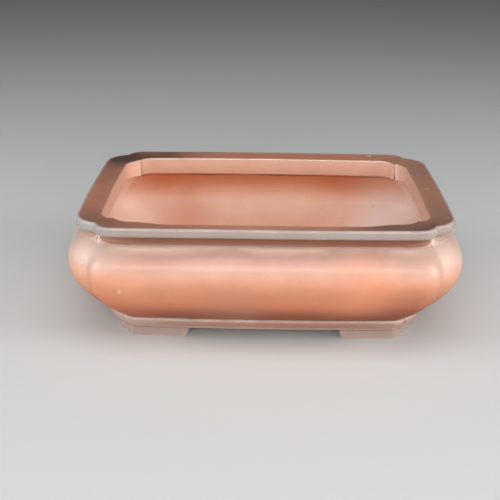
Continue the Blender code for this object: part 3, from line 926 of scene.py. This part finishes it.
# Colour ramps: stops of (tone, colour). Tones run from the bottom of the wall's outside to its top, then
# down the inside, and from the bottom of the lip's inner face over its top to the collar's foot.
# FRONT_STOPS paint light and shade: darker towards the bottom of the belly as painted shade, a darker band
# on the shoulder as painted shade, and a pale strip right under the collar as painted light where the lip
# shades it.
FRONT_STOPS = [(0.0, (0.26, 0.075, 0.032)), (0.05, (0.30, 0.068, 0.024)), (0.10, (0.40, 0.115, 0.046)),
               (0.142, (0.53, 0.172, 0.081)), (0.18, (0.595, 0.206, 0.102)), (0.24, (0.563, 0.223, 0.123)),
               (0.293, (0.592, 0.254, 0.156)), (0.34, (0.655, 0.33, 0.227)), (0.375, (0.605, 0.355, 0.265)),
               (0.406, (0.56, 0.315, 0.240)), (0.435, (0.46, 0.257, 0.20)), (0.455, (0.435, 0.268, 0.211)),
               (0.468, (0.61, 0.41, 0.33)), (0.477, (0.74, 0.56, 0.47))]
# The dark stops at the top of INSIDE_STOPS are painted shadow under the collar's inner edge.
INSIDE_STOPS = [(0.534, (0.20, 0.06, 0.025)), (0.550, (0.60, 0.20, 0.083)), (0.59, (0.67, 0.28, 0.148)),
                (0.63, (0.69, 0.325, 0.193)), (0.67, (0.72, 0.40, 0.27)), (0.70, (0.72, 0.42, 0.295)),
                (0.74, (0.68, 0.40, 0.285)), (0.81, (0.67, 0.40, 0.29)), (0.87, (0.65, 0.35, 0.235)),
                (1.0, (0.62, 0.33, 0.22))]
# LEFT_INSIDE_STOPS and RIGHT_INSIDE_STOPS are painted paler than the long walls' inside, as painted
# highlight and sheen, the left more than the right.
LEFT_INSIDE_STOPS = [(0.52, (0.84, 0.52, 0.40)), (0.64, (0.86, 0.56, 0.44)), (0.76, (0.76, 0.45, 0.34)),
                     (1.0, (0.62, 0.33, 0.22))]
RIGHT_INSIDE_STOPS = [(0.52, (0.68, 0.45, 0.36)), (0.64, (0.70, 0.53, 0.47)), (0.76, (0.66, 0.46, 0.38)),
                      (1.0, (0.62, 0.33, 0.22))]
# SIDE_STOPS are darker towards the bottom of the belly, as painted shade.
SIDE_STOPS = [(0.0, (0.27, 0.09, 0.045)), (0.08, (0.40, 0.14, 0.07)), (0.18, (0.58, 0.24, 0.135)),
              (0.27, (0.64, 0.31, 0.20)), (0.34, (0.65, 0.38, 0.29)), (0.40, (0.62, 0.40, 0.33)),
              (0.44, (0.55, 0.38, 0.33)), (0.478, (0.58, 0.42, 0.36))]
# In LIP_STOPS the nose (0.61 to 0.80) is painted pale grey as a painted reflection, the collar's face (0.87
# to 0.965) is dark as painted shadow of the lip's overhang, and the top's dark brown is partly painted
# shade and partly the clay's own darker colour.
LIP_STOPS = [(0.0, (0.51, 0.25, 0.165)), (0.2, (0.585, 0.34, 0.25)), (0.28, (0.50, 0.28, 0.19)),
             (0.32, (0.385, 0.165, 0.10)), (0.56, (0.345, 0.15, 0.093)), (0.61, (0.33, 0.20, 0.16)),
             (0.66, (0.31, 0.245, 0.22)), (0.74, (0.335, 0.275, 0.245)), (0.80, (0.29, 0.23, 0.20)),
             (0.87, (0.23, 0.095, 0.052)), (0.965, (0.245, 0.098, 0.053)), (1.0, (0.38, 0.20, 0.14))]
# SIDE_LIP_STOPS paint the nose pale grey as a painted reflection, and paint shade on the short sides'
# collar: darkest just under the nose, fading to pale at its foot.
SIDE_LIP_STOPS = [(0.31, (0.39, 0.175, 0.11)), (0.56, (0.36, 0.16, 0.10)), (0.61, (0.33, 0.20, 0.16)),
                  (0.66, (0.31, 0.245, 0.22)), (0.74, (0.335, 0.275, 0.245)), (0.80, (0.29, 0.23, 0.20)),
                  (0.88, (0.18, 0.09, 0.06)), (0.94, (0.36, 0.225, 0.17)), (1.0, (0.50, 0.35, 0.285))]
# LEFT_MOUTH_STOPS and RIGHT_MOUTH_STOPS are differently lit copies of the collar's inner face: the left
# painted paler as painted highlight, the right darker.
LEFT_MOUTH_STOPS = [(0.0, (0.74, 0.42, 0.30)), (0.2, (0.70, 0.40, 0.29)), (0.27, (0.54, 0.29, 0.20))]
RIGHT_MOUTH_STOPS = [(0.0, (0.61, 0.37, 0.28)), (0.2, (0.58, 0.36, 0.28)), (0.27, (0.48, 0.27, 0.19))]
# BELT_STOPS paint the upper rounding paler as painted highlight, and the lower rounding and underside
# darker as painted shade.
BELT_STOPS = [(0.0, (0.31, 0.115, 0.06)), (0.35, (0.38, 0.245, 0.19)), (0.55, (0.31, 0.16, 0.115)),
              (1.0, (0.22, 0.11, 0.08))]
FOOT_STOPS = [(0.0, (0.33, 0.19, 0.14)), (0.4, (0.35, 0.245, 0.21)), (0.7, (0.365, 0.26, 0.225)),
              (1.0, (0.33, 0.22, 0.18))]
FLOOR_STOPS = [(0.0, (0.42, 0.28, 0.22)), (0.5, (0.50, 0.34, 0.28)), (1.0, (0.56, 0.29, 0.19))]

BELT_RAMPS = {side: BELT_STOPS for side in SIDES}
LIP_RAMPS = {"front": LIP_STOPS, "back": LIP_STOPS,
             "left": LEFT_MOUTH_STOPS + SIDE_LIP_STOPS, "right": RIGHT_MOUTH_STOPS + SIDE_LIP_STOPS}
WALL_RAMPS = {"front": FRONT_STOPS + INSIDE_STOPS, "back": FRONT_STOPS + INSIDE_STOPS,
              "left": SIDE_STOPS + LEFT_INSIDE_STOPS, "right": SIDE_STOPS + RIGHT_INSIDE_STOPS}

# Stains left by the flame, painted shade and painted highlights, as (place in metres, radius, colour,
# strength, tones they keep between)
SMOKE = (0.05, 0.028, 0.022)
SOOT = (0.105, 0.062, 0.048)
ASH = (0.20, 0.125, 0.09)
# A pale bluish grey for a painted reflection on the nose
NOSE_REFLECTION_GREY = (0.31, 0.315, 0.31)
ROSE = (0.36, 0.27, 0.235)
LIP_TOP, LIP_NOSE_FACE, COLLAR_FACE, ALL_TONES = (0.29, 0.60), (0.62, 0.84), (0.87, 1.0), (0.0, 1.0)
WALL_OUTSIDE, SHOULDER, WALL_INSIDE = (0.0, 0.49), (0.36, 0.49), (0.51, 1.0)
LIP_PATCHES = [((-0.135, 0.10, 0.096), 0.100, SMOKE, 0.95, LIP_TOP),
               ((0.0, -0.105, 0.096), 0.100, (0.49, 0.23, 0.14), 0.95, LIP_TOP),
               ((0.115, -0.10, 0.096), 0.065, SOOT, 0.95, LIP_TOP),
               ((0.140, 0.06, 0.096), 0.080, ASH, 0.55, LIP_TOP),
               ((0.135, -0.055, 0.096), 0.050, ASH, 0.55, LIP_TOP),
               ((-0.130, -0.090, 0.096), 0.055, SOOT, 0.6, LIP_TOP),
               # Painted reflection: the nose at the front left corner is painted bluish grey.
               ((-0.130, -0.095, 0.093), 0.045, NOSE_REFLECTION_GREY, 0.8, LIP_NOSE_FACE),
               ((-0.125, 0.095, 0.093), 0.060, SOOT, 0.5, LIP_NOSE_FACE),
               # Painted light: the collar is paler at the front left valley, where less of the lip's
               # painted shadow falls.
               ((-0.120, -0.100, 0.086), 0.040, (0.36, 0.20, 0.14), 0.8, COLLAR_FACE)]
BELT_PATCHES = [((0.110, -0.080, 0.014), 0.050, ROSE, 0.6, ALL_TONES),
                ((-0.110, -0.080, 0.014), 0.070, ROSE, 0.8, ALL_TONES)]
WALL_PATCHES = [((0.075, -0.118, 0.044), 0.050, (0.76, 0.29, 0.15), 0.5, WALL_OUTSIDE),
                # Painted shade: darker towards the bottom by the front right corner.
                ((0.106, -0.100, 0.020), 0.050, (0.22, 0.04, 0.010), 0.8, WALL_OUTSIDE),
                ((-0.100, -0.115, 0.050), 0.040, (0.74, 0.33, 0.195), 0.5, WALL_OUTSIDE),
                # Painted sheen: a paler shoulder by both front valleys.
                ((-0.126, -0.094, 0.076), 0.055, (0.60, 0.44, 0.37), 0.75, SHOULDER),
                ((0.126, -0.094, 0.074), 0.050, (0.60, 0.42, 0.34), 0.75, SHOULDER),
                # Painted shade: darker and redder towards the bottom by the front left corner.
                ((-0.108, -0.100, 0.024), 0.045, (0.50, 0.115, 0.042), 0.6, WALL_OUTSIDE),
                ((-0.020, -0.100, 0.028), 0.040, (0.45, 0.22, 0.14), 0.35, WALL_OUTSIDE),
                # Painted highlights: the curved inner corners at both ends of the back wall.
                ((0.116, 0.092, 0.034), 0.066, (0.68, 0.54, 0.48), 0.85, WALL_INSIDE),
                ((-0.125, 0.085, 0.045), 0.050, (0.82, 0.58, 0.47), 0.7, WALL_INSIDE),
                # Painted shade: a darker band beside the left inner highlight.
                ((-0.072, 0.098, 0.038), 0.042, (0.50, 0.20, 0.115), 0.65, WALL_INSIDE),
                # Painted shadow under the inner collar at both ends of the back wall.
                ((-0.095, 0.095, 0.076), 0.040, (0.56, 0.155, 0.055), 0.6, WALL_INSIDE),
                ((0.070, 0.100, 0.074), 0.050, (0.56, 0.16, 0.06), 0.55, WALL_INSIDE)]

SIDE_LIP_WEAR_AND_HIGHLIGHT_FROM = 0.4        # the mouth's edge has no wear and no painted highlight on the short sides


def grain_of(side):
    """Return the direction of the burnishing streaks on a side."""
    return ALONG_X if side in ("front", "back") else ALONG_Y


def four_clays(kind, ramps, **settings):
    """Return one material for each side of a ring, burnished along it."""
    clays = {}
    for side in SIDES:
        wear_and_highlight_from = SIDE_LIP_WEAR_AND_HIGHLIGHT_FROM if kind == "lip" and side in ("left", "right") else -1.0
        clays[side] = clay(f"clay_{kind}_{side}", ramps[side], grain_of(side), wear_and_highlight_from=wear_and_highlight_from,
                           **settings)
    return clays


# ---------------------------------------------------------------- camera, light and floor

CAMERA_PLACE = Vector((-0.0017, -0.7638, 0.3297))
CAMERA_YAW = -0.0138
CAMERA_PITCH = 0.3845           # downwards
CAMERA_ROLL = 0.0092
CAMERA_LENS = 69.8
CAMERA_SHIFT = 0.045


def add_camera():
    """Stand the camera in front of the pot, looking a little down on it."""
    forward = Vector((math.sin(CAMERA_YAW) * math.cos(CAMERA_PITCH),
                      math.cos(CAMERA_YAW) * math.cos(CAMERA_PITCH), -math.sin(CAMERA_PITCH)))
    level = Vector((math.cos(CAMERA_YAW), -math.sin(CAMERA_YAW), 0.0))
    upright = level.cross(forward)
    right = level * math.cos(CAMERA_ROLL) + upright * math.sin(CAMERA_ROLL)
    up = upright * math.cos(CAMERA_ROLL) - level * math.sin(CAMERA_ROLL)
    data = bpy.data.cameras.new("camera")
    data.sensor_width = 36.0
    data.lens = CAMERA_LENS
    data.shift_y = CAMERA_SHIFT
    camera = linked("camera", data)
    camera.matrix_world = Matrix((right, up, -forward)).transposed().to_4x4()
    camera.location = CAMERA_PLACE
    bpy.context.scene.camera = camera


def add_light(name, place, aim, size, power, colour=(1.0, 1.0, 1.0)):
    """Add a rectangular soft light that points at a place."""
    data = bpy.data.lights.new(name, "AREA")
    data.shape = "RECTANGLE"
    data.size, data.size_y = size
    data.energy = power
    data.color = colour
    light = linked(name, data)
    light.location = place
    light.rotation_euler = (Vector(aim) - Vector(place)).to_track_quat("-Z", "Y").to_euler()


def add_studio():
    """Add a pale floor, a pale surrounding and soft lights, most of the light coming from the front."""
    bm = bmesh.new()
    bmesh.ops.create_grid(bm, x_segments=1, y_segments=1, size=4.0)
    mesh = bpy.data.meshes.new("studio_floor")
    bm.to_mesh(mesh)
    bm.free()
    floor = linked("studio_floor", mesh)
    paper = bpy.data.materials.new("paper")
    paper.use_nodes = True
    shader = paper.node_tree.nodes["Principled BSDF"]
    shader.inputs["Base Color"].default_value = (0.56, 0.56, 0.55, 1.0)
    shader.inputs["Roughness"].default_value = 0.8
    mesh.materials.append(paper)
    world = bpy.data.worlds.new("world")
    world.use_nodes = True
    back = world.node_tree.nodes["Background"]
    back.inputs["Color"].default_value = (0.90, 0.93, 1.0, 1.0)
    back.inputs["Strength"].default_value = 0.12
    bpy.context.scene.world = world
    middle = (0.0, 0.0, 0.05)
    add_light("front_light", (0.0, -1.6, 0.62), middle, (1.6, 0.6), 20.0, (1.0, 0.98, 0.96))
    add_light("left_light", (-1.4, -0.3, 0.5), middle, (0.6, 0.8), 11.5)
    add_light("right_light", (1.4, -0.4, 0.5), middle, (0.6, 0.8), 15.0)
    add_light("top_light", (0.0, -0.5, 1.3), middle, (1.6, 1.2), 10.5, (0.97, 0.98, 1.0))
    bpy.context.scene.view_settings.view_transform = "Standard"


def main():
    """Build the camera, the studio and the pot."""
    add_camera()
    add_studio()
    add_floor(clay("clay_floor_slab", FLOOR_STOPS, NO_GRAIN, 0.62))
    add_feet(clay("clay_feet", FOOT_STOPS, NO_GRAIN, 0.58))
    belt_clays = four_clays("belt", BELT_RAMPS, roughness=0.52, patches=BELT_PATCHES)
    add_ring_of_four("belt", *section_rings(belt_section), belt_clays)
    rings, tones, lifts = wall_rings()
    wall_clays = four_clays("wall", WALL_RAMPS, roughness=0.42, patches=WALL_PATCHES)
    add_ring_of_four("wall", rings, tones, [0.0] * len(rings), wall_clays, lifts)
    lip_clays = four_clays("lip", LIP_RAMPS, roughness=0.44, patches=LIP_PATCHES)
    add_ring_of_four("lip", *section_rings(lip_section), lip_clays, collar_lifts(lip_section()[0]))


main()
